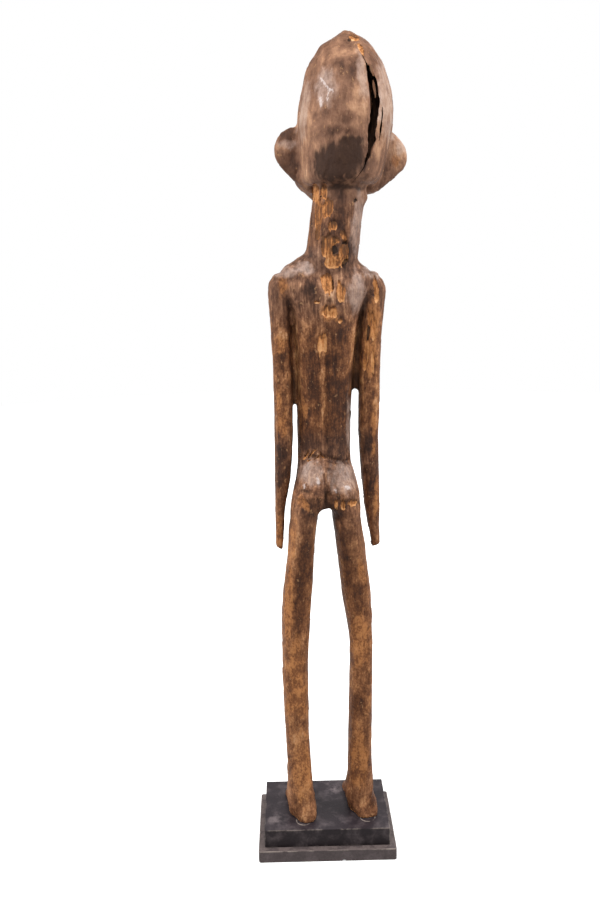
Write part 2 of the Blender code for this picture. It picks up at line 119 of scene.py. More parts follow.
# Tan: wood worn through the patina, and painted light on the lit edges marked below
TAN = dict(
    crown_tan=(344, 52, 11, 6),
    skull_warm=(358, 102, 9, 22),
    # the skull's lit left edge: painted light
    skull_left=(305, 128, 7, 30),
    skull_left_low=(303, 165, 7, 18, 0.15),
    # the skull's lit right edge: painted light
    right_skull_painted_light=(386, 106, 8, 46),
    right_ear_tan=(398, 152, 9, 17),
    left_ear_tan=(284, 148, 8, 6),
    skull_spot=(363, 145, 3.2, 4.5),
    crack_foot_warm=(377, 149, 4, 9),
    skull_seam_pale=(389, 148, 3, 28, -0.1),
    back_fleck_c=(346.5, 316.5, 2.6, 2.4),
    # the lit side of the spine's groove and the lit flanks: painted light
    spine_painted_light=(323.2, 402, 2, 62),
    right_flank=(354, 350, 6, 25, -0.1),
    left_flank_painted_light=(295, 348, 3.4, 40, 0.08),
    flank_fleck=(314, 422, 4, 8),
    left_arm_mid=(283, 335, 6, 12),
    right_arm_warm=(376, 420, 2, 26, 0.05),
    waist_splinter_a=(308, 454, 6, 3.4, -0.5),
    waist_splinter_b=(317, 456, 6, 3.4, -0.8),
    waist_splinter_c=(322, 459, 4, 1.4, 0.3),
    left_thigh_tan=(294, 542, 4.5, 34, -0.1),
    left_shin_light=(299, 738, 8, 34),
    nape_light=(330, 290, 12, 16),
    left_heel_warm=(305, 800, 7, 20),
    right_heel_warm=(362, 794, 7, 14),
)
OCHRE = dict(
    right_ear_warm=(396, 160, 4, 6),
    back_flake_foot=(330, 313, 8, 8),
    neck_flake_foot=(321, 204, 5, 16),
    flank_streak=(305.5, 410, 2.8, 12, 0.1),
    left_arm_warm=(279, 405, 2.6, 16),
    left_arm_tip=(279, 532, 3.2, 14),
    arm_ochre_top=(373, 318, 6, 24),
    arm_ochre_mid=(370, 355, 6, 20),
    right_arm_ochre=(374, 430, 2, 24),
    left_arm_ochre_a=(283, 285, 5, 12),
    left_arm_ochre_b=(281, 345, 6, 8),
    left_arm_ochre_c=(283, 425, 5, 12),
    left_thigh_ochre=(292, 545, 4, 26, -0.1),
    left_heel_ochre=(303, 770, 9, 34),
    right_ankle_ochre=(359, 760, 8, 28),
    left_ankle_ochre=(297, 700, 10, 16),
    right_arm_low=(376, 500, 2.4, 20),
    buttock_notch_d=(303, 503, 5, 7, 0.3),
    left_leg_warm=(289, 600, 4.4, 36, -0.02),
    right_knee_warm=(362, 571, 4.2, 10, 0.15),
    right_calf_warm=(360, 640, 9, 26),
    left_shin_warm=(296, 668, 7, 26),
)
# Dark patina, and painted shade where named so: under the head, in the seams by the ears, in the grooves by
# the arms and the spine, and under the seat
DARK = dict(
    skull_brown=(346, 117, 8, 7),
    occiput_brown=(341, 130, 13, 4),
    neck_painted_shade=(338, 212, 7, 26),
    neck_base_painted_shade=(349, 250, 7, 14),
    left_seam_painted_shade=(298.5, 166, 2, 17),
    right_seam_painted_shade=(386, 168, 1.6, 16, -0.15),
    left_ear_top=(288, 133, 10, 6),
    left_ear_low=(290, 166, 12, 17),
    back_dark_left=(312, 291, 9, 10),
    back_dark_mid=(338, 342, 10, 24),
    back_dark_low=(340, 415, 15, 56),
    left_dark_low=(313, 372, 8, 32),
    left_groove_painted_shade=(290, 330, 2.4, 42, 0.06),
    spine_painted_shade=(329, 402, 3.2, 62),
    left_low_back=(311, 428, 9, 30),
    right_arm_dark=(371, 450, 6.5, 50, 0.03),
    left_arm_dark=(281, 359, 5, 9),
    left_arm_dark_low=(282, 462, 7, 22),
    under_seat_painted_shade_left=(309, 510, 9, 9),
    under_seat_painted_shade_right=(338, 512, 9, 8),
    left_thigh_dark=(306, 548, 5, 26, -0.05),
    left_leg_dark=(300, 595, 5.5, 38, -0.08),
    right_thigh_dark=(346, 556, 4, 30, 0.12),
    right_leg_dark=(358, 598, 6, 14),
    left_shin_dark=(300, 722, 6, 12),
    right_shin_streak=(361, 745, 2.2, 14),
    right_shin_dark=(359, 706, 7, 10),
    right_leg_dull=(361, 768, 8, 30),
    right_foot_dull=(372.5, 796, 2.5, 10),
)
# The occiput's dark patina, with painted shade under its bulge where the skull turns under
STAIN_AND_SHADE = dict(
    occiput=(340, 162, 28, 21, -0.28),
    occiput_corner=(351, 141, 13, 7),
)
# Grey sheen on the high places and lit edges: worn polish, with a painted highlight laid into its colour
PALE = dict(
    skull_sheen=(326, 88, 10, 18),
    lip_pale=(362, 76, 5, 24, 0.1),
    skull_left_pink=(304, 112, 5, 32, -0.1),
    right_skull_pale=(385, 100, 8, 42, 0.1),
    left_ear_band=(287, 144, 11, 4.5, -0.1),
    right_ear_rim=(401, 147, 6, 9),
    neck_right_pale=(357, 222, 5, 30, -0.1),
    left_shoulder=(284, 272, 14, 6),
    right_shoulder=(374, 271, 12, 7),
    shoulder_blade=(357, 292, 9, 20),
    left_trapezius=(304, 268, 11, 6),
    right_flank_low=(349, 425, 2.6, 28),
    left_buttock_sheen=(312, 472, 12, 14),
    right_buttock_sheen=(344, 479, 16, 16),
)
# White flecks: painted highlights, glints of the lights off the polished skull and seat
PAINTED_GLINTS = dict(
    sheen_painted_glint_a=(325, 85, 2.2, 8, 0.6),
    sheen_painted_glint_b=(321.5, 101, 2.4, 6, 0.2),
    sheen_painted_glint_c=(330.5, 91, 3.4, 2.2, 0.4),
    sheen_painted_glint_d=(327, 98, 1.4, 4, -0.3),
    buttock_painted_glint_a=(304.5, 487, 2.2, 3),
    buttock_painted_glint_b=(318.5, 479, 2.4, 6, 0.2),
    buttock_painted_glint_c=(336, 491, 2.6, 3, 0.4),
    buttock_painted_glint_d=(347, 487.5, 4, 2.6, 0.4),
)
# Pits and holes: cut shallow and coloured near-black, painted shade for their depth
PIT = dict(
    crown_pit=(349.5, 41, 1.8, 1.8),
    neck_streak=(320.6, 197, 0.9, 6),
    neck_hole=(335.2, 250.5, 2.9, 4.4, 0.1),
    neck_low_hole=(344.4, 262.5, 2.4, 3.4, -0.3),
    neck_side_hole=(344.6, 244, 3, 1.8),
    neck_knot=(354.8, 200.5, 1.7, 2.4, -0.4),
    nape_split=(332.7, 284, 1, 7),
    arm_pits=(368.5, 332, 1.4, 9, -0.1),
)
# Painted shade: under the skull's rim, in the grooves by the arms, in the seat's cleft and along its lower
# edge
SHADE = dict(
    rim_shadow=(339, 187.4, 31, 2.4),
    left_groove_low=(294.2, 392, 3.2, 20, 0.03),
    right_groove=(358.5, 345, 2.6, 30, -0.08),
    right_groove_low=(355.5, 378, 4.6, 16),
    cleft_dark=(325.8, 501, 1.9, 17, 0.02),
    cleft_low=(326.5, 509, 4.6, 6.5),
    seat_edge_right=(338.5, 497, 2.6, 2.2, 0.4),
    seat_edge_left=(306, 491, 5.5, 1.8),
)
PATCHES = dict(
    bare=BARE, tan=TAN, ochre=OCHRE, dark=DARK, stain_and_shade=STAIN_AND_SHADE, pale=PALE, white=PAINTED_GLINTS, pit=PIT, shade=SHADE,
)
# How their edges run: which are torn, where they begin and are full, and how far they wander in pixels
CRISP_KINDS = ("bare", "pit")
CRISP_EDGE = (1.22, 0.86)
SOFT_EDGE = (1.6, 0.4)
FACES_CAMERA = (0.02, 0.22)
EDGE_RAGGED = 0.42
EDGE_FRAYED = 0.20
CRISP_RAGGED = 0.5
DRIFT_ACROSS = 1.3
DRIFT_DOWN = 3
LIP_REACH = 1.7
PATCH_SQUARENESS = 2.6

# The same kinds where the photograph doesn't show them: their noise's size, stretch along the grain and
# seed, where they begin and are full, and how far the lower legs add to them
HIDDEN_PATCHES = dict(
    tan=(18, 3, 461, (0.05, 0.5), 0.3),
    ochre=(21, 3, 471, (0.15, 0.6), 0.35),
    dark=(24, 2.5, 491, (0.05, 0.45), -0.2),
    pale=(15, 1.6, 521, (0.25, 0.6), 0),
    pit=(4, 3, 551, (0.56, 0.66), 0),
)
HIDDEN_BARE = (0.34, 0.42)

# Heights on the figure, in its millimetres, between which a region comes in or goes out
SKULL_IN = (596, 620)
NECK_IN = (560, 575)
NECK_OUT = (622, 608)
SHOULDERS_IN = (490, 530)
SHOULDERS_OUT = (580, 566)
ARMS_OUT = (560, 520)
BACK_IN = (396, 410)
BACK_OUT = (575, 545)
SEAT_IN = (352, 362)
SEAT_OUT = (402, 390)
LEGS_OUT = (345, 290)
WARM_LEGS_OUT = (345, 250)
LOWER_LEGS_OUT = (330, 150)
FEET_OUT = (70, 20)
ARMS_BEYOND = (32, 40)
BODY_MIDDLE = -7
FACE_FRONT = (-28, -42)
FACE_DEEP = (-40, -52)
CHIN_IN = (600, 612)

# How orange the regions are, or dull, and how far their grain is calmed
ARMS_WARM = 0.55
FEET_DULL = 0.35
SEAT_DULL = 0.5
SHOULDERS_DULL = 1.8
WARM_DRIFT = 0.15
SKULL_CALM = 0.88
LEGS_CALM = 0.5
FACE_CALM = 0.7
FACE_SMOOTH = 0.75
PATCHES_ON_FACE = ("dark", "ochre", "bare", "pit", "pale")
# How dark the painted shade in the blade's cuts is, and between which cut depths in millimetres it comes in
CUT_SHADE = 0.75
CUT_DEPTHS = (0.1, 1.3)

# The worked surface, in millimetres
FACET_HEIGHT = 0.55
WAVE_HEIGHT = 0.34
FIBRE_HEIGHT = 0.16
FLAKE_DEPTH = 1.05
FLAKE_TORN = 0.55
PIT_DEPTH = 1.3
SHADE_DEPTH = 0.5
CRUST_HEIGHT = 0.15

# Low swellings of the surface: place, reach along each axis, and rise, in the figure's millimetres
SWELLS = dict(
    left_shoulder_slope=((27, 8, 553.5), (10, 30, 8), 2.4),
    left_shoulder_knob=((44, 8, 549), (8, 30, 7), -2.2),
    right_shoulder_slope=((-46, 8, 556), (8, 30, 6), 1.4),
    right_shoulder_knob=((-58, 8, 549), (8, 30, 7), -2),
    crown_left=((-6, 0, 747), (14, 40, 10), 1.6),
    crown_peak=((-36, 4, 760), (11, 40, 10), -2.4),
    right_ear_rim=((-84, -16, 651), (9, 16, 22), 1.9),
    right_ear_foot=((-46, 8, 616), (9, 30, 9), 3),
    right_ankle_inner=((-21, 8, 22), (12, 24, 20), 3.4),
    right_ankle_outer=((-52, 10, 14), (10, 22, 18), -1.4),
    left_ankle_outer=((40, 8, 24), (10, 22, 16), 1.2),
)

# The heels narrow towards the sole: the x that stays, the share of the width beyond it that goes, and how
# far back they reach
HEELS = dict(
    left_heel=(24, 0.46, 1.6),
    right_heel=(-40, 0.36, 4.6),
)
HEEL_HEIGHT = 15
HEEL_START = 6
HEEL_END = 23
HEEL_HALF_WIDTH = 18

# The check in the skull: photograph row, then the columns of its left and right lips
CHECK_ROWS = (
    (55, 362.2, 362.9), (60, 364.6, 365.6), (65, 366.6, 368.2), (68, 367.4, 371.6),
    (72, 367.7, 375), (80, 368.5, 377.6), (86, 369.4, 379.9), (94, 371.2, 380.6),
    (100, 372.4, 381), (106, 370.4, 380.8), (112, 369.9, 380), (119, 369.2, 377.8),
    (128, 369, 377.4), (137, 368.3, 376.9), (147, 367.9, 373.2), (157, 367, 370.6),
    (162, 365.4, 367.6), (168, 363.2, 364.6), (176, 357.8, 358.8), (184, 351, 351.7),
)
SIDE_CHECK_ROWS = (
    (107, 382.6, 383.2), (114, 382, 383.6), (124, 381, 382.6), (134, 379.8, 381.2), (141, 379.2, 379.6),
)
# Slivers of sound wood that still stand in the check
HIGH_SLIVER_ROWS = (
    (64, 369, 370.2), (68, 370.4, 372.6), (72, 371.4, 373.8), (76, 372.6, 374),
)
SLIVER_ROWS = (
    (80, 372.6, 373.4), (85, 373, 374.8), (90, 373.6, 375.4), (95, 374.4, 375.6), (99, 375, 375.6),
)
# How the checks and slivers run in, in metres, and how their lips are torn
CHECK_MOUTH_Y = 0.060
CHECK_FLOOR_Y = -0.006
CHECK_PULL = 0.6
CHECK_FLOOR_SHARE = 0.75
SLIVER_MOUTH_Y = 0.0245
SLIVER_FLOOR_SHARE = 1.3
LIP_STEP = 2
LIP_RAGGED = 1.5

# Ledges cut across the figure: the photograph's row at two columns, then their rise in millimetres
WAIST_LEDGE = ((300, 457.5), (354, 466.5), 0.8)
WAIST_LEDGE_REACH = (30, 8)
SEAT_LEDGE = ((296, 499), (360, 500.5), -1.3)
SEAT_LEDGE_REACH = (16, 4)
LEDGE_JAGGED = 1.6
LEDGE_LIP = 0.9

# Strokes of a small blade on the front: half width, depth, and path of (x, z) in the figure's frame
# An eye's strokes are given from its middle
EYE_MIDDLES = (-11.5, -40.5)
EYE_STROKES = dict(
    upper_lid=(1.5, 0.9, ((-9, 669), (-4.5, 673.2), (0, 674.4), (4.5, 673.2), (9, 669))),
    lower_lid=(1.4, 0.7, ((-9, 668), (-4.5, 664.6), (0, 663.6), (4.5, 664.6), (9, 668))),
    slit=(1.3, 0.9, ((-6.5, 668.6), (6.5, 668.6))),
)
FRONT_STROKES = dict(
    mouth_line=(1.5, 1.3, ((-37.5, 630.2), (-26, 629.6), (-14.5, 630.2))),
    left_nostril=(2, 1.6, ((-21.2, 642.2), (-20.2, 643.6))),
    right_nostril=(2, 1.6, ((-30.8, 642.2), (-31.8, 643.6))),
    philtrum=(1.8, 0.6, ((-26, 641), (-26, 637))),
    left_crease=(2, 0.5, ((-16, 645), (-12, 636))),
    right_crease=(2, 0.5, ((-36, 645), (-40, 636))),
    navel_pit=(2, 1.6, ((-4, 401), (-4, 399))),
    breastbone=(4, 0.8, ((-6, 535), (-5, 440))),
)
STROKE_GAIN = 1.35
TOE_LINES = dict(
    left_foot=((22.5, 29), math.radians(3)),
    right_foot=((-42.5, 26), math.radians(6)),
)
TOE_SPOTS = (-7.8, -2.6, 2.6, 7.8)
TOE_WIDTH = 1.4
TOE_DEPTH = 1.3
TOE_START = 47
TOE_LOW = 13
TOE_FADE = 4

# Colours of the wood and the paint, as seen in the photograph
COLOURS = dict(
    # soot: the darkest patina, and the colour of the painted shade
    soot=(42, 25, 15),
    dark=(64, 41, 27),
    umber=(96, 65, 43),
    brown=(128, 91, 63),
    tan=(168, 126, 88),
    light=(200, 162, 126),
    bare_light=(224, 174, 124),
    bare=(202, 142, 90),
    bare_deep=(164, 106, 60),
    bare_dark=(112, 72, 44),
    ochre=(174, 116, 68),
    ochre_deep=(122, 76, 45),
    # pit: near-black, painted shade in the pits
    pit=(30, 20, 15),
    # the occiput's dark patina and its painted shade
    stain_and_shade=(44, 26, 17),
    # pale and pale_deep: the grey sheen, worn polish with a painted highlight
    pale=(170, 146, 133),
    pale_deep=(132, 106, 93),
    # white: the painted glints
    white=(214, 202, 199),
    split=(58, 36, 24),
    split_light=(112, 76, 50),
    sliver=(112, 84, 63),
    # the boards' tops lighter than their sides: painted light from above, on the slab partly worn paint
    block_top=(42, 35, 39),
    block_side=(31, 25, 27),
    slab_top=(94, 83, 81),
    slab_side=(78, 69, 69),
    slab_dark=(64, 55, 55),
    dust=(112, 101, 102),
    rubbed=(150, 138, 128),
    floor=(250, 250, 250),
)
# Where the patina runs from soot to light wood
TONES = ((0, "soot"), (0.22, "dark"), (0.42, "umber"), (0.60, "brown"), (0.78, "tan"), (1, "light"))
# Where bare wood runs from its torn depths to its lit fibres
BARE_TONES = ((0.10, "umber"), (0.34, "bare_dark"), (0.50, "bare_deep"), (0.72, "bare"), (1, "bare_light"))

# The wood's noises: features a metre along x, y and z, detail, and place
WOOD_NOISES = dict(
    fibre=((900, 900, 80), 4, 3.1),
    splinter=((430, 430, 42), 4, 17.3),
    mottle=((150, 150, 105), 6, 7.7),
    cloud=((60, 60, 40), 4, 12.9),
    speck=((600, 600, 430), 3, 21.3),
    nick=((330, 330, 190), 2, 29.9),
)
# How each kind of patch covers the wood: the noise that breaks its edge, how far, where the edge begins and
# is full, and its strength
COVERS = dict(
    ochre=("mottle", 1.5, (0.15, 0.95), 0.72),
    stain_and_shade=("mottle", 0.9, (0.25, 0.80), 0.93),
    pale=("mottle", 1, (0.10, 1.05), 0.58),
    white=("speck", 1.4, (0.45, 1.1), 0.55),
    bare=("speck", 0.5, (0.32, 0.48), 1),
    shade=("speck", 0, None, 0.75),
    pit=("speck", 0.6, (0.3, 0.7), 0.85),
)
TONE_SHARE = (0.3, 0.7)
NICK_EDGE = (0.64, 0.72)
NICK_STRENGTH = 0.55
PATINA_HUE = 0.493
FINE_BUMP = 0.0012

# Scuffs on the block's top: the photograph's column and row, then their reach in metres
DUST_SPOTS = (
    (276, 819, 0.010),
    (325, 783, 0.007),
    (336, 789, 0.010),
    (300, 842, 0.008),
    (372, 838, 0.010),
)
HEEL_RUBS = ((304, 820.4, 0.0076), (367.6, 816.8, 0.0076))
HEEL_RUB_WIDTH = 0.0009
BLOCK_TOP = 0.032
EDGE_WEAR = 0.0013
SCUFF_STRENGTH = 0.6
HAZE_STRENGTH = 0.3
PAINT_BUMP = 0.0004
# Each board's colours on top and on its sides, the top lighter as painted light from above and on the slab
# partly as worn paint, whether its top is scuffed, and how far its edges are worn
PAINTED_BOARDS = dict(
    plinth_block=("block_top", "block_side", True, 0.25),
    plinth_slab=("slab_top", "slab_side", False, 0.55),
)

# The floor
FLOOR_RADIUS = 3
FLOOR_GLOW_START = 0.2
FLOOR_GLOW = (0.22, 0.9)

# The lights: place, what they aim at, size and power
SOFTBOXES = dict(
    left_light=((1.45, 0.30, 1.10), (0, 0, 0.45), 0.9, 23),
    right_light=((-1.45, 0.30, 1.10), (0, 0, 0.45), 0.9, 24),
    high_light=((0.10, 0.95, 2.05), (0, 0, 0.55), 0.7, 29),
    front_light=((-0.35, -1.70, 1.20), (0, 0, 0.45), 1.4, 18),
)
ROOM_LIGHT = 0.38


def linear(name):
    """A named colour as linear light."""
    shades = []
    for level in COLOURS[name]:
        share = level / 255.0
        shades.append(share / 12.92 if share <= 0.04045 else ((share + 0.055) / 1.055) ** 2.4)
    return (*shades, 1)


def camera_axes():
    """The camera's right, up and forward directions in the frame."""
    forward = Vector((
        math.sin(CAMERA_YAW) * math.cos(CAMERA_PITCH),
        math.cos(CAMERA_YAW) * math.cos(CAMERA_PITCH),
        -math.sin(CAMERA_PITCH),
    ))
    level = Vector((math.cos(CAMERA_YAW), -math.sin(CAMERA_YAW), 0))
    upward = level.cross(forward)
    right = level * math.cos(CAMERA_ROLL) + upward * math.sin(CAMERA_ROLL)
    up = -level * math.sin(CAMERA_ROLL) + upward * math.cos(CAMERA_ROLL)
    behind = Matrix.Rotation(math.pi, 3, "Z")
    return behind @ right, behind @ up, behind @ forward


RIGHT, UP, FORWARD = camera_axes()


def photo_pixels(places):
    """Where points in the frame fall in the photograph."""
    away = places - np.array(CAMERA_PLACE)
    depth = away @ np.array(FORWARD)
    across = PHOTO_WIDTH / 2 + FOCAL_PIXELS * (away @ np.array(RIGHT)) / depth
    down = PHOTO_HEIGHT / 2 - FOCAL_PIXELS * (away @ np.array(UP)) / depth
    return across, down


def shown_at(column, row, axis, value):
    """The point that the photograph shows at a pixel, and whose y (axis 1) or z (axis 2) is the value."""
    ray = FORWARD * FOCAL_PIXELS + RIGHT * (column - PHOTO_WIDTH / 2) - UP * (row - PHOTO_HEIGHT / 2)
    return CAMERA_PLACE + ray * ((value - CAMERA_PLACE[axis]) / ray[axis])


def to_figure(places):
    """Points of the frame in the figure's own millimetres."""
    turned = np.array(Matrix.Rotation(-FIGURE_TURN, 3, "Z"))
    lowered = places - np.array((0, 0, SOLE_HEIGHT))
    return lowered @ turned.T / MM


def from_figure(points):
    """The figure's own millimetres back in the frame."""
    turned = np.array(Matrix.Rotation(FIGURE_TURN, 3, "Z"))
    return (points * MM) @ turned.T + np.array((0, 0, SOLE_HEIGHT))


def lattice(cells, seed):
    """A steady random number from 0 to 1 for each whole-numbered cell."""
    mixed = cells.astype(np.int64).astype(np.uint64)
    value = mixed[:, 0] * np.uint64(73856093) ^ mixed[:, 1] * np.uint64(19349663)
    value = value ^ mixed[:, 2] * np.uint64(83492791) ^ np.uint64(seed * 2654435761 + 97)
    value = (value ^ (value >> np.uint64(13))) * np.uint64(1274126177)
    value = value ^ (value >> np.uint64(16))
    return (value & np.uint64(0xFFFFFF)).astype(np.float64) / 0xFFFFFF


def noise(points, seed):
    """Smooth noise from -1 to 1 with a feature about every unit."""
    low = np.floor(points)
    share = points - low
    share = share * share * (3.0 - 2.0 * share)
    total = np.zeros(len(points))
    for corner in np.ndindex(2, 2, 2):
        weight = np.ones(len(points))
        for axis in range(3):
            weight *= share[:, axis] if corner[axis] else 1.0 - share[:, axis]
        total += weight * lattice(low + np.array(corner), seed)
    return 2.0 * total - 1.0


def layered(points, size, stretch, seed, layers=3):
    """Noise in several sizes, drawn out along the grain."""
    scale = np.array((size, size, size * stretch))
    total = np.zeros(len(points))
    weight_sum = 0.0
    for layer in range(layers):
        weight = 0.5**layer
        total += weight * noise(points / scale * 2.0**layer, seed + 17 * layer)
        weight_sum += weight
    return total / weight_sum


def facets(points, size, stretch, seed):
    """The tilts left by a blade: each cell is a small plane of its own."""
    scaled = points / np.array((size, size, size * stretch))
    home = np.floor(scaled)
    best = np.full(len(points), np.inf)
    height = np.zeros(len(points))
    for step in np.ndindex(3, 3, 3):
        cell = home + np.array(step) - 1.0
        offsets = [scaled[:, axis] - cell[:, axis] - lattice(cell, seed + axis) for axis in range(3)]
        away = sum(offset**2 for offset in offsets)
        tilt = sum((2.0 * lattice(cell, seed + 5 + axis) - 1) * offsets[axis] for axis in range(3))
        nearer = away < best
        best[nearer] = away[nearer]
        height[nearer] = tilt[nearer]
    return height


def smoothstep(low, high, value):
    """0 below low and 1 above high, with a smooth rise between."""
    share = np.clip((value - low) / (high - low), 0, 1)
    return share * share * (3.0 - 2.0 * share)


def distance_to_path(x, z, path):
    """How far each point is, seen square to the front, from a path of (x, z) points."""
    nearest = np.full(len(x), np.inf)
    for (x1, z1), (x2, z2) in zip(path, path[1:]):
        along_x, along_z = x2 - x1, z2 - z1
        length = along_x**2 + along_z**2
        share = np.clip(((x - x1) * along_x + (z - z1) * along_z) / length, 0, 1)
        nearest = np.minimum(nearest, np.hypot(x - x1 - share * along_x, z - z1 - share * along_z))
    return nearest


def vertex_array(mesh, name):
    """A mesh's positions or normals as rows of three."""
    values = np.empty(len(mesh.vertices) * 3, dtype=np.float32)
    mesh.vertices.foreach_get(name, values)
    return values.reshape(-1, 3).astype(np.float64)


def set_places(mesh, places):
    """Moves a mesh's vertices."""
    mesh.vertices.foreach_set("co", places.astype(np.float32).ravel())
    mesh.update()


def applied(item):
    """A new mesh of the object as its modifiers leave it."""
    bpy.context.view_layer.update()
    graph = bpy.context.evaluated_depsgraph_get()
    return bpy.data.meshes.new_from_object(item.evaluated_get(graph))


def new_object(name, mesh):
    """An object in the scene."""
    made = bpy.data.objects.new(name, mesh)
    bpy.context.scene.collection.objects.link(made)
    return made


def fair(mesh):
    """Takes the flat faces of the coarse solid out of the skin without shrinking it."""
    places = vertex_array(mesh, "co")
    edges = np.empty(len(mesh.edges) * 2, dtype=np.int32)
    mesh.edges.foreach_get("vertices", edges)
    first, second = edges[0::2], edges[1::2]
    count = np.bincount(edges, minlength=len(places))
    for step in range(2 * FAIRING_STEPS):
        factor = FAIRING_OUT if step % 2 else FAIRING_IN
        for axis in range(3):
            column = places[:, axis]
            total = np.bincount(first, column[second], len(places))
            total += np.bincount(second, column[first], len(places))
            places[:, axis] = column + factor * (total / count - column)
    set_places(mesh, places)


def patch_masks(places, normals, points, lowered=0):
    """How far each point, or one so many pixels below it, lies in each kind of patch, and is seen."""
    across, down = photo_pixels(places)
    down = down + lowered
    to_camera = np.array(CAMERA_PLACE) - places
    to_camera /= np.linalg.norm(to_camera, axis=1)[:, None]
    seen = smoothstep(*FACES_CAMERA, np.sum(to_camera * normals, axis=1))
    ragged = EDGE_RAGGED * layered(points, 3.2, 3, 301)
    ragged += EDGE_FRAYED * noise(points / np.array((1.6, 1.6, 5)), 331)
    across = across + DRIFT_ACROSS * layered(points, 6, 2.6, 341)
    down = down + DRIFT_DOWN * layered(points, 7, 1.6, 361)
    torn_ends = EDGE_RAGGED * noise(points / np.array((1.5, 1.5, 16)), 371)
    masks = {kind: np.zeros(len(places)) for kind in PATCHES}
    for kind, patches in PATCHES.items():
        for column, row, half_width, half_height, *leans in patches.values():
            lean = sum(leans)
            sideways = np.abs(across - column - lean * (down - row)) / half_width
            upright = np.abs(down - row) / half_height
            if kind in CRISP_KINDS:
                upright = np.clip(upright + torn_ends, 0, None)
                away = (sideways**PATCH_SQUARENESS + upright**PATCH_SQUARENESS) ** (1.0 / PATCH_SQUARENESS)
                inside = smoothstep(*CRISP_EDGE, away + CRISP_RAGGED * ragged)
            else:
                away = np.sqrt(sideways**2 + upright**2) + ragged
                inside = smoothstep(*SOFT_EDGE, away)
            masks[kind] = np.maximum(masks[kind], inside * seen)
    return masks, seen


def hidden_masks(points, seen):
    """The same kinds of patch, as they would lie on the sides that the photograph doesn't show."""
    hidden = 1.0 - seen
    low = smoothstep(*LOWER_LEGS_OUT, points[:, 2])
    masks = {kind: np.zeros(len(points)) for kind in PATCHES}
    flakes = 0.6 * layered(points, 7, 3.2, 431) + 0.45 * layered(points, 26, 2.4, 401)
    masks["bare"] = hidden * smoothstep(*HIDDEN_BARE, flakes + 0.10 * low)
    for kind, (size, stretch, seed, edge, on_legs) in HIDDEN_PATCHES.items():
        masks[kind] = hidden * smoothstep(*edge, layered(points, size, stretch, seed) + on_legs * low)
    return masks


def warmth(points):
    """How orange the wood is: 1 on the legs, below 0 on the greyer skull, shoulders and seat."""
    away, height = points[:, 0] - BODY_MIDDLE, points[:, 2]
    legs = smoothstep(*WARM_LEGS_OUT, height) * (1.0 - FEET_DULL * smoothstep(*FEET_OUT, height))
    arms = ARMS_WARM * smoothstep(*ARMS_BEYOND, np.abs(away)) * smoothstep(*ARMS_OUT, height)
    back = smoothstep(*BACK_IN, height) * smoothstep(*BACK_OUT, height)
    skull = smoothstep(*SKULL_IN, height)
    seat = SEAT_DULL * smoothstep(*SEAT_IN, height) * smoothstep(*SEAT_OUT, height)
    shoulders = SHOULDERS_DULL * smoothstep(*SHOULDERS_IN, height) * smoothstep(*SHOULDERS_OUT, height)
    warm = np.maximum(np.maximum(legs, arms), back) - skull - seat - shoulders
    return warm + WARM_DRIFT * layered(points, 30, 2, 571)


def all_masks(places, normals, points):
    """The patches seen and unseen together, and the regions that the material tells apart."""
    seen_masks, seen = patch_masks(places, normals, points)
    unseen = hidden_masks(points, seen)
    masks = {kind: np.maximum(seen_masks[kind], unseen[kind]) for kind in PATCHES}
    masks["seen"] = seen
    masks["warm"] = warmth(points)
    skull = smoothstep(*SKULL_IN, points[:, 2])
    legs = smoothstep(*LEGS_OUT, points[:, 2])
    masks["grain"] = 1.0 - SKULL_CALM * skull - LEGS_CALM * legs
    # The neck: painted shade under the head, laid over its patina and bare wood
    masks["neck"] = smoothstep(*NECK_IN, points[:, 2]) * smoothstep(*NECK_OUT, points[:, 2])
    face = smoothstep(*FACE_FRONT, points[:, 1]) * skull
    for kind in PATCHES_ON_FACE:
        masks[kind] *= 1.0 - FACE_CALM * face
    # The blade's cuts in the face, chest and feet darken as painted shade
    cuts = CUT_SHADE * smoothstep(*CUT_DEPTHS, front_cuts(points, normals))
    masks["shade"] = np.maximum(masks["shade"], cuts)
    return masks


def thin(item):
    """Brings the skin down to so many triangles, and keeps them where it bends most."""
    count = sum(len(face.vertices) - 2 for face in item.data.polygons)
    collapse = item.modifiers.new("thin", "DECIMATE")
    collapse.ratio = min(1, SKIN_LIMIT / count)
    mesh = applied(item)
    item.modifiers.clear()
    item.data = mesh


def blade_strokes():
    """Every stroke on the front, those of both eyes first."""
    for middle in EYE_MIDDLES:
        for half_width, cut, path in EYE_STROKES.values():
            yield half_width, cut, [(middle + x, z) for x, z in path]
    yield from FRONT_STROKES.values()


def front_cuts(points, normals):
    """How deep the small blade cuts into the face, chest and feet."""
    depth = np.zeros(len(points))
    facing = np.clip(-1.8 * normals[:, 1], 0, 1)
    for half_width, cut, path in blade_strokes():
        away = distance_to_path(points[:, 0], points[:, 2], path) / half_width
        depth += STROKE_GAIN * cut * np.clip(1.0 - away**2, 0, 1) ** 1.5 * facing
    for heel, turn in TOE_LINES.values():
        offset_x, offset_y = points[:, 0] - heel[0], points[:, 1] - heel[1]
        along = math.sin(turn) * offset_x - math.cos(turn) * offset_y
        across = math.cos(turn) * offset_x + math.sin(turn) * offset_y
        reach = smoothstep(TOE_START - TOE_FADE, TOE_START, along)
        reach = reach * smoothstep(TOE_LOW, TOE_LOW - TOE_FADE, points[:, 2])
        for spot in TOE_SPOTS:
            depth += TOE_DEPTH * reach * np.clip(1.0 - ((across - spot) / TOE_WIDTH) ** 2, 0, 1)
    return depth


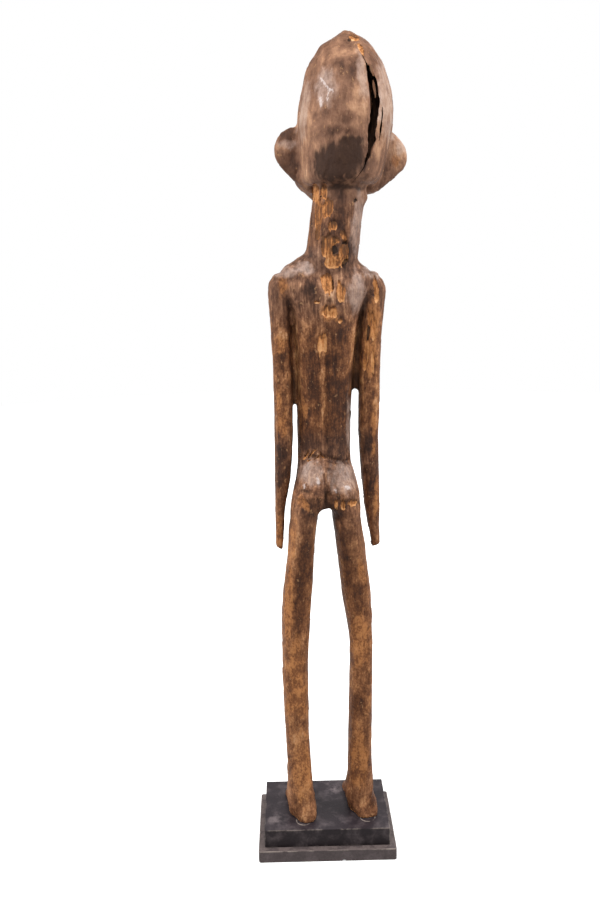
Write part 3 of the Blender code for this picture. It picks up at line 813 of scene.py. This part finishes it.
def ledges(places, points, seen):
    """The step at the waist, the notched edge under the seat and the low swellings."""
    across, down = photo_pixels(places)
    jagged = LEDGE_JAGGED * layered(points, 3, 1.5, 621)
    height = np.zeros(len(places))
    for ledge, reach in ((WAIST_LEDGE, WAIST_LEDGE_REACH), (SEAT_LEDGE, SEAT_LEDGE_REACH)):
        (left, left_row), (right, right_row), rise = ledge
        edge = left_row + (right_row - left_row) * (across - left) / (right - left)
        below = down - edge - jagged
        inside = smoothstep(left - 3, left + 1, across) * smoothstep(right + 3, right - 1, across)
        step = smoothstep(-LEDGE_LIP, LEDGE_LIP, below) * smoothstep(*reach, below)
        height += rise * step * inside * seen
    for place, reach, rise in SWELLS.values():
        away = np.linalg.norm((points - np.array(place)) / np.array(reach), axis=1)
        height += rise * smoothstep(1, 0, away)
    return height


def shape_heels(places):
    """Narrows the heels towards the sole and draws them back."""
    points = to_figure(places)
    low = smoothstep(HEEL_HEIGHT, 0, points[:, 2])
    back = smoothstep(HEEL_START, HEEL_END, points[:, 1])
    moved = points.copy()
    for stays, share, reach in HEELS.values():
        beyond = points[:, 0] - stays
        own = (np.abs(beyond) < HEEL_HALF_WIDTH).astype(float)
        moved[:, 0] -= own * np.clip(beyond, 0, None) * share * low * back
        moved[:, 1] += own * reach * low * back
    return from_figure(moved)


def relief(points, masks):
    """How high the worked surface stands over the fair skin, in millimetres."""
    face = smoothstep(*FACE_DEEP, points[:, 1]) * smoothstep(*CHIN_IN, points[:, 2])
    calm = 1.0 - FACE_SMOOTH * face
    height = FACET_HEIGHT * facets(points, 8.5, 2.6, 211) * calm
    height += WAVE_HEIGHT * layered(points, 7, 2.2, 101) * calm
    height += FIBRE_HEIGHT * layered(points, 1.9, 9, 131, 2) * calm
    splintered = masks["bare"] * (FLAKE_DEPTH + FLAKE_TORN * layered(points, 1.7, 8, 161, 2))
    height -= splintered * calm
    height -= PIT_DEPTH * masks["pit"] + SHADE_DEPTH * masks["shade"]
    height += CRUST_HEIGHT * masks["dark"] * layered(points, 3, 1.5, 191, 2)
    return height


def ragged_rows(rows, seed):
    """The lips of a check row by row, with torn edges."""
    table = np.array(rows, dtype=float)
    steps = np.arange(table[0, 0], table[-1, 0] + LIP_STEP / 2, LIP_STEP)
    left = np.interp(steps, table[:, 0], table[:, 1])
    right = np.interp(steps, table[:, 0], table[:, 2])
    spots = np.stack((steps / 5, np.zeros(len(steps)), np.zeros(len(steps))), axis=1)
    tear = LIP_RAGGED * np.clip((right - left) / 4, 0.15, 1)
    left = left + tear * noise(spots, seed)
    right = right + tear * noise(spots, seed + 7)
    return list(zip(steps, left, right))


def wedge(name, rows, mouth, floor_share, surface):
    """A form with the lips that the photograph shows, running in towards the pith."""
    shape = bmesh.new()
    levels = []
    for row, left, right in rows:
        middle = (left + right) / 2.0 - CHECK_PULL
        half_floor = (right - left) / 2.0 * floor_share
        corners = (
            shown_at(left, row, 1, mouth),
            shown_at(right, row, 1, mouth),
            shown_at(middle + half_floor, row, 1, CHECK_FLOOR_Y),
            shown_at(middle - half_floor, row, 1, CHECK_FLOOR_Y),
        )
        levels.append([shape.verts.new(corner) for corner in corners])
    for upper, lower in zip(levels, levels[1:]):
        for i in range(4):
            j = (i + 1) % 4
            shape.faces.new((upper[i], upper[j], lower[j], lower[i]))
    shape.faces.new(levels[0])
    shape.faces.new(levels[-1])
    bmesh.ops.recalc_face_normals(shape, faces=shape.faces)
    bmesh.ops.triangulate(shape, faces=shape.faces)
    mesh = bpy.data.meshes.new(name)
    shape.to_mesh(mesh)
    shape.free()
    mesh.materials.append(surface)
    return new_object(name, mesh)


def joined_with(item, other, operation):
    """Cuts one closed form out of another or adds it, and keeps each surface's own material."""
    cut = item.modifiers.new(other.name, "BOOLEAN")
    cut.operation = operation
    cut.solver = "MANIFOLD"
    cut.material_mode = "TRANSFER"
    cut.object = other
    mesh = applied(item)
    item.modifiers.clear()
    item.data = mesh
    bpy.data.objects.remove(other, do_unlink=True)


def open_checks(item):
    """Opens the two checks of the skull, and leaves slivers of sound wood standing in the wide one."""
    dark = split_wood("split_wood", "split", "split_light")
    sound = split_wood("sliver_wood", "bare_dark", "sliver")
    for name, rows, seed in (("skull_check", CHECK_ROWS, 801), ("side_check", SIDE_CHECK_ROWS, 831)):
        cutter = wedge(name, ragged_rows(rows, seed), CHECK_MOUTH_Y, CHECK_FLOOR_SHARE, dark)
        joined_with(item, cutter, "DIFFERENCE")
    for name, rows, seed in (("high_sliver", HIGH_SLIVER_ROWS, 811), ("sliver", SLIVER_ROWS, 821)):
        left_wood = wedge(name, ragged_rows(rows, seed), SLIVER_MOUTH_Y, SLIVER_FLOOR_SHARE, sound)
        joined_with(item, left_wood, "UNION")


def node(tree, kind, **values):
    """Adds a shader node and sets its properties."""
    made = tree.nodes.new(kind)
    for key, value in values.items():
        setattr(made, key, value)
    return made


def noise_node(tree, scale, detail, seed_offset):
    """Noise drawn out along the grain: scale is (x, y, z) features a metre."""
    place = node(tree, "ShaderNodeTexCoord")
    mapping = node(tree, "ShaderNodeMapping")
    mapping.inputs["Scale"].default_value = scale
    mapping.inputs["Location"].default_value = (seed_offset, seed_offset * 0.7, seed_offset * 1.3)
    tree.links.new(place.outputs["Object"], mapping.inputs["Vector"])
    made = node(tree, "ShaderNodeTexNoise")
    made.inputs["Scale"].default_value = 1.0
    made.inputs["Detail"].default_value = detail
    made.inputs["Roughness"].default_value = 0.6
    tree.links.new(mapping.outputs["Vector"], made.inputs["Vector"])
    return made.outputs["Fac"]


def arithmetic(tree, operation, first, second):
    """A maths node on two sockets or numbers."""
    made = node(tree, "ShaderNodeMath", operation=operation)
    for socket, value in zip(made.inputs, (first, second)):
        if isinstance(value, (int, float)):
            socket.default_value = value
        else:
            tree.links.new(value, socket)
    return made.outputs[0]


def ramp(tree, low, high, source):
    """0 below low, 1 above high."""
    made = node(tree, "ShaderNodeMapRange", interpolation_type="SMOOTHSTEP")
    made.inputs["From Min"].default_value = low
    made.inputs["From Max"].default_value = high
    tree.links.new(source, made.inputs["Value"])
    return made.outputs["Result"]


def blend_colour(tree, share, first, second, mode="MIX"):
    """Lays the second colour over the first by a share."""
    made = node(tree, "ShaderNodeMix", data_type="RGBA", blend_type=mode)
    factor, base, over = made.inputs[0], made.inputs[6], made.inputs[7]
    for socket, value in ((factor, share), (base, first), (over, second)):
        if isinstance(value, (int, float, tuple)):
            socket.default_value = value
        else:
            tree.links.new(value, socket)
    return made.outputs[2]


def new_material(name):
    """A material with an empty Principled shader, and its tree."""
    made = bpy.data.materials.new(name)
    made.use_nodes = True
    tree = made.node_tree
    return made, tree, tree.nodes["Principled BSDF"]


def product(tree, first, second):
    """Two sockets or numbers multiplied."""
    return arithmetic(tree, "MULTIPLY", first, second)


def swing(tree, source, share):
    """How far a noise is from its middle, as much as a share lets through."""
    return product(tree, arithmetic(tree, "SUBTRACT", source, 0.5), share)


def mask_node(tree, name, breakup, gain):
    """A mask kept on the mesh, with its edge broken up by noise."""
    return arithmetic(tree, "ADD", kept(tree, name), swing(tree, breakup, gain))


def bump(tree, shader, height, distance, strength):
    """Fine relief by normals."""
    made = node(tree, "ShaderNodeBump")
    made.inputs["Strength"].default_value = strength
    made.inputs["Distance"].default_value = distance
    tree.links.new(height, made.inputs["Height"])
    tree.links.new(made.outputs["Normal"], shader.inputs["Normal"])


def weighted_sum(tree, start, terms):
    """start plus each socket times its weight, where a middle is given less that middle first."""
    total = start
    for source, weight, *middles in terms:
        for middle in middles:
            source = arithmetic(tree, "SUBTRACT", source, middle)
        total = arithmetic(tree, "ADD", product(tree, source, weight), total)
    return total


def kept(tree, name):
    """A value kept on the mesh."""
    return node(tree, "ShaderNodeAttribute", attribute_name=name).outputs["Fac"]


def colour_ramp(tree, source, stops):
    """The colours of a value: stops are (place, colour name)."""
    made = node(tree, "ShaderNodeValToRGB")
    marks = made.color_ramp.elements
    while len(marks) < len(stops):
        marks.new(0.5)
    for mark, (place, name) in zip(marks, stops):
        mark.position = place
        mark.color = linear(name)
    tree.links.new(source, made.inputs["Fac"])
    return made.outputs["Color"]


def worn_patina(tree, wood):
    """The patina before any patch is laid over it, its tone drawn from the noises and the regions."""
    mottle, cloud, speck = wood["mottle"], wood["cloud"], wood["speck"]
    grain, warm = kept(tree, "grain"), kept(tree, "warm")
    plain = arithmetic(tree, "SUBTRACT", 1, grain)
    streaks = weighted_sum(tree, 0, ((wood["splinter"], 0.75, 0.5), (wood["fibre"], 0.40, 0.5)))
    tone = weighted_sum(tree, 0.485, (
        (mottle, 1.1, 0.5),
        (swing(tree, mottle, plain), -0.55),
        (cloud, 0.45, 0.5),
        (swing(tree, cloud, plain), 0.25),
        (swing(tree, speck, warm), 0.30),
        (speck, 0.42, 0.5),
        (product(tree, streaks, grain), 1),
        # tan lifts the tone, as painted light on the lit edges where marked; dark lowers it, partly as
        # painted shade; neck is painted shade under the head; pale lifts it with the sheen's painted
        # highlight
        (kept(tree, "tan"), 0.20),
        (kept(tree, "dark"), -0.25),
        (kept(tree, "neck"), -0.03),
        (plain, 0.035),
        (kept(tree, "pale"), 0.08),
        (kept(tree, "hollow"), -0.14),
        (warm, 0.02),
        (grain, -0.06, 1),
    ))
    hue = node(tree, "ShaderNodeHueSaturation")
    hue.inputs["Hue"].default_value = PATINA_HUE
    tree.links.new(colour_ramp(tree, tone, TONES), hue.inputs["Color"])
    tree.links.new(weighted_sum(tree, 1, ((warm, 0.08),)), hue.inputs["Saturation"])
    nicked = product(tree, ramp(tree, *NICK_EDGE, wood["nick"]), NICK_STRENGTH)
    return blend_colour(tree, nicked, hue.outputs["Color"], linear("tan"))


def ochre_tone(tree, wood):
    """Orange wood that shows through the patina."""
    share = weighted_sum(tree, 0.5, (
        (wood["splinter"], 0.6, 0.5),
        (wood["speck"], 1.5, 0.5),
        (wood["mottle"], 1.3, 0.5),
        (wood["cloud"], 0.8, 0.5),
    ))
    return blend_colour(tree, ramp(tree, *TONE_SHARE, share), linear("ochre_deep"), linear("ochre"))


def pale_tone(tree, wood):
    """Grey sheen on the high places and lit edges: worn polish, with a painted highlight laid into its
    colour.
    """
    share = weighted_sum(tree, 0.5, ((wood["mottle"], 1, 0.5), (wood["speck"], 0.6, 0.5)))
    return blend_colour(tree, ramp(tree, *TONE_SHARE, share), linear("pale_deep"), linear("pale"))


def bare_tone(tree, wood):
    """Bare splintered wood, with painted light along one lip of a flake and painted shadow along the other.
    """
    splintered = weighted_sum(tree, 0.57, (
        (wood["splinter"], 1.4, 0.5),
        (wood["speck"], 0.5, 0.5),
        (wood["mottle"], 0.7, 0.5),
        # the neck's painted shade under the head
        (kept(tree, "neck"), -0.22),
        (kept(tree, "lip_painted_light"), 0.30),
        (kept(tree, "lip_painted_shadow"), -0.45),
    ))
    return colour_ramp(tree, splintered, BARE_TONES)


def patina_wood():
    """Dark patina over wood, worn to tan and grey, and flaked to bare orange wood, with painted highlights,
    glints and shade laid into its colour.
    """
    made, tree, shader = new_material("patina_wood")
    wood = {name: noise_node(tree, *settings) for name, settings in WOOD_NOISES.items()}
    # Over the patina: orange wood, the occiput's stain with painted shade, the sheen with a painted
    # highlight, painted white glints, bare wood, painted shade, and pits painted near-black as their shade
    tones = {
        "ochre": ochre_tone(tree, wood),
        "stain_and_shade": linear("stain_and_shade"),
        "pale": pale_tone(tree, wood),
        "white": linear("white"),
        "bare": bare_tone(tree, wood),
        "shade": linear("soot"),
        "pit": linear("pit"),
    }
    base = worn_patina(tree, wood)
    cover = {}
    for name, (breakup, gain, edge, strength) in COVERS.items():
        mask = mask_node(tree, name, wood[breakup], gain)
        cover[name] = ramp(tree, *edge, mask) if edge else mask
        base = blend_colour(tree, product(tree, cover[name], strength), base, tones[name])
    tree.links.new(base, shader.inputs["Base Color"])
    pale, bare = cover["pale"], cover["bare"]
    rough = weighted_sum(tree, 0.66, ((pale, -0.14), (bare, 0.16), (wood["mottle"], 0.3, 0.5)))
    tree.links.new(rough, shader.inputs["Roughness"])
    shader.inputs["Specular IOR Level"].default_value = 0.16
    tree.links.new(product(tree, pale, 0.35), shader.inputs["Coat Weight"])
    shader.inputs["Coat Roughness"].default_value = 0.36
    height = weighted_sum(tree, 0, (
        (wood["fibre"], 0.7),
        (wood["mottle"], 1.4),
        (wood["speck"], 0.6),
        (product(tree, bare, wood["splinter"]), 1.6),
        (bare, -1.6),
        (cover["pit"], -0.8),
    ))
    bump(tree, shader, height, FINE_BUMP, 0.8)
    return made


def split_wood(name, deep, light):
    """Wood torn along its grain."""
    made, tree, shader = new_material(name)
    fibre = noise_node(tree, (800, 800, 40), 4, 5.5)
    tone = blend_colour(tree, ramp(tree, 0.35, 0.75, fibre), linear(deep), linear(light))
    tree.links.new(tone, shader.inputs["Base Color"])
    shader.inputs["Roughness"].default_value = 0.85
    bump(tree, shader, fibre, FINE_BUMP, 0.7)
    return made


def carved_figure():
    """The figure's skin, worked and cut."""
    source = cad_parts["figure"]
    item = new_object("carved_figure", source.data.copy())
    item.matrix_world = source.matrix_world.copy()
    skin = item.modifiers.new("skin", "REMESH")
    skin.mode = "VOXEL"
    skin.voxel_size = SKIN_CELL * MM
    mesh = applied(item)
    item.modifiers.clear()
    item.data = mesh
    fair(mesh)
    set_places(mesh, shape_heels(vertex_array(mesh, "co")))
    places = vertex_array(mesh, "co")
    normals = vertex_array(mesh, "normal")
    points = to_figure(places)
    masks = all_masks(places, normals, points)
    height = relief(points, masks) - front_cuts(points, normals) + ledges(places, points, masks["seen"])
    places += normals * (height * MM)[:, None]
    places[:, 2] = np.maximum(places[:, 2], SOLE_HEIGHT)
    set_places(mesh, places)
    mesh.materials.clear()
    mesh.materials.append(patina_wood())
    thin(item)
    open_checks(item)
    keep_masks(item.data)
    item.data.shade_smooth()
    item.data.set_sharp_from_angle(angle=math.radians(48))
    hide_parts("figure")
    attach(item, "root")
    return item


def keep_masks(mesh):
    """Writes the patches on the mesh, for its material."""
    places = vertex_array(mesh, "co")
    normals = vertex_array(mesh, "normal")
    points = to_figure(places)
    masks = all_masks(places, normals, points)
    height = relief(points, {**masks, "bare": masks["bare"] * 0, "pit": masks["pit"] * 0.0})
    masks["hollow"] = smoothstep(-0.05, -0.6, height)
    # Painted shadow along a flake's upper edge and painted light along its lower edge
    above, _ = patch_masks(places, normals, points, -LIP_REACH)
    below, _ = patch_masks(places, normals, points, LIP_REACH)
    masks["lip_painted_shadow"] = np.clip(masks["bare"] - above["bare"], 0, 1) * masks["seen"]
    masks["lip_painted_light"] = np.clip(masks["bare"] - below["bare"], 0, 1) * masks["seen"]
    for name, values in masks.items():
        kept = mesh.attributes.new(name, "FLOAT", "POINT")
        kept.data.foreach_set("value", values.astype(np.float32))


def distance_node(tree, place):
    """How far the surface is from a point, in metres."""
    here = node(tree, "ShaderNodeTexCoord")
    made = node(tree, "ShaderNodeVectorMath", operation="DISTANCE")
    tree.links.new(here.outputs["Object"], made.inputs[0])
    made.inputs[1].default_value = place
    return made.outputs["Value"]


def near_edge(tree, board_name):
    """1 where the surface is close to two faces of a board at once."""
    low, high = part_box(board_name)
    here = node(tree, "ShaderNodeTexCoord")
    axes = node(tree, "ShaderNodeSeparateXYZ")
    tree.links.new(here.outputs["Object"], axes.inputs["Vector"])
    total = 0.0
    for axis, label in enumerate("XYZ"):
        middle, half = (low[axis] + high[axis]) / 2, (high[axis] - low[axis]) / 2.0
        from_middle = arithmetic(tree, "SUBTRACT", axes.outputs[label], middle)
        offset = arithmetic(tree, "ABSOLUTE", from_middle, 0)
        total = arithmetic(tree, "ADD", ramp(tree, half - EDGE_WEAR, half - 0.4 * EDGE_WEAR, offset), total)
    return ramp(tree, 1.3, 1.9, total)


def dust_spots(tree, tone, cloud):
    """Lays patches of dust on the block's top."""
    for column, row, reach in DUST_SPOTS:
        away = distance_node(tree, shown_at(column, row, 2, BLOCK_TOP))
        near = ramp(tree, reach * 1.3, reach * 0.2, away)
        patchy = product(tree, near, ramp(tree, 0.42, 0.66, cloud))
        tone = blend_colour(tree, product(tree, patchy, SCUFF_STRENGTH), tone, linear("dust"))
    return tone


def heel_rubs(tree, tone, cloud, top):
    """Lays the pale rings that the heels have rubbed into the paint."""
    for column, row, reach in HEEL_RUBS:
        away = distance_node(tree, shown_at(column, row, 2, BLOCK_TOP))
        inner = ramp(tree, reach - HEEL_RUB_WIDTH, reach, away)
        outer = ramp(tree, reach + HEEL_RUB_WIDTH, reach, away)
        ring = product(tree, product(tree, inner, outer), top)
        tone = blend_colour(tree, product(tree, ring, ramp(tree, 0.45, 0.6, cloud)), tone, linear("rubbed"))
    return tone


def painted(board_name, top_name, side_name, scuffed, wear):
    """Matt black paint, dusty on top, rubbed through in places and worn along its edges; its top is lighter
    than its sides as painted light from above, and on the slab partly as worn paint.
    """
    made, tree, shader = new_material(f"{board_name}_paint")
    cloud = noise_node(tree, (75, 75, 75), 6, 2.2)
    fine = noise_node(tree, (520, 520, 520), 4, 9.4)
    facing = node(tree, "ShaderNodeNewGeometry")
    axes = node(tree, "ShaderNodeSeparateXYZ")
    tree.links.new(facing.outputs["Normal"], axes.inputs["Vector"])
    # The top is lighter than the sides: painted light from above, on the slab partly worn paint
    top = ramp(tree, 0.5, 0.9, axes.outputs["Z"])
    tone = blend_colour(tree, top, linear(side_name), linear(top_name))
    if scuffed:
        tone = heel_rubs(tree, dust_spots(tree, tone, cloud), cloud, top)
    else:
        blotch = product(tree, top, ramp(tree, 0.46, 0.58, cloud))
        tone = blend_colour(tree, blotch, tone, linear("slab_dark"))
    haze = product(tree, ramp(tree, 0.45, 0.75, cloud), HAZE_STRENGTH)
    tone = blend_colour(tree, haze, tone, linear("dust"))
    worn = product(tree, near_edge(tree, board_name), ramp(tree, 0.44, 0.60, cloud))
    tone = blend_colour(tree, product(tree, worn, wear), tone, linear("rubbed"))
    grit = weighted_sum(tree, 1, ((fine, 0.8, 0.5), (cloud, 0.5, 0.5)))
    tone = blend_colour(tree, 1, tone, grit, "MULTIPLY")
    tree.links.new(tone, shader.inputs["Base Color"])
    shader.inputs["Roughness"].default_value = 0.6
    shader.inputs["Specular IOR Level"].default_value = 0.15
    bump(tree, shader, fine, PAINT_BUMP, 0.4)
    return made


def paint_plinth():
    """The boards keep the frame's shape and get their paint."""
    for name, settings in PAINTED_BOARDS.items():
        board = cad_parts[name]
        board.data.materials.clear()
        board.data.materials.append(painted(name, *settings))


def floor():
    """A plain pale floor that brightens away from the figure into the white room."""
    bpy.ops.mesh.primitive_circle_add(vertices=96, radius=FLOOR_RADIUS, fill_type="NGON")
    made = bpy.context.object
    made.name = "floor"
    surface, tree, shader = new_material("pale_floor")
    shader.inputs["Base Color"].default_value = linear("floor")
    shader.inputs["Roughness"].default_value = 0.9
    shader.inputs["Emission Color"].default_value = (1, 1, 1, 1)
    glow = node(tree, "ShaderNodeMapRange")
    glow.inputs["From Min"].default_value = FLOOR_GLOW_START
    glow.inputs["From Max"].default_value = FLOOR_RADIUS
    glow.inputs["To Min"].default_value = FLOOR_GLOW[0]
    glow.inputs["To Max"].default_value = FLOOR_GLOW[1]
    tree.links.new(distance_node(tree, (0, 0, 0)), glow.inputs["Value"])
    tree.links.new(glow.outputs["Result"], shader.inputs["Emission Strength"])
    made.data.materials.append(surface)
    made.visible_diffuse = False


def softbox(name, place, aim, size, power):
    """A square soft light."""
    lamp = bpy.data.lights.new(name, "AREA")
    lamp.shape = "SQUARE"
    lamp.size = size
    lamp.energy = power
    made = bpy.data.objects.new(name, lamp)
    made.location = place
    made.rotation_euler = (Vector(aim) - Vector(place)).to_track_quat("-Z", "Y").to_euler()
    bpy.context.scene.collection.objects.link(made)


def studio():
    """Soft light from both sides and above, in a white room."""
    for name, settings in SOFTBOXES.items():
        softbox(name, *settings)
    world = bpy.data.worlds.new("white_room")
    world.use_nodes = True
    tree = world.node_tree
    room = tree.nodes["Background"]
    room.inputs["Color"].default_value = (1, 1, 1, 1)
    path = node(tree, "ShaderNodeLightPath")
    strength = node(tree, "ShaderNodeMapRange")
    strength.inputs["To Min"].default_value = ROOM_LIGHT
    strength.inputs["To Max"].default_value = 1.0
    tree.links.new(path.outputs["Is Camera Ray"], strength.inputs["Value"])
    tree.links.new(strength.outputs["Result"], room.inputs["Strength"])
    bpy.context.scene.world = world
    bpy.context.scene.view_settings.view_transform = "Standard"


def camera():
    """The photograph's view."""
    lens = bpy.data.cameras.new("camera")
    lens.sensor_fit = "AUTO"
    lens.sensor_width = SENSOR_MM
    lens.lens = SENSOR_MM * FOCAL_PIXELS / PHOTO_HEIGHT
    lens.clip_start = 0.01
    made = bpy.data.objects.new("camera", lens)
    turn = Matrix((RIGHT, UP, -FORWARD)).transposed().to_4x4()
    made.matrix_world = Matrix.Translation(CAMERA_PLACE) @ turn
    bpy.context.scene.collection.objects.link(made)
    bpy.context.scene.camera = made


camera()
carved_figure()
paint_plinth()
floor()
studio()
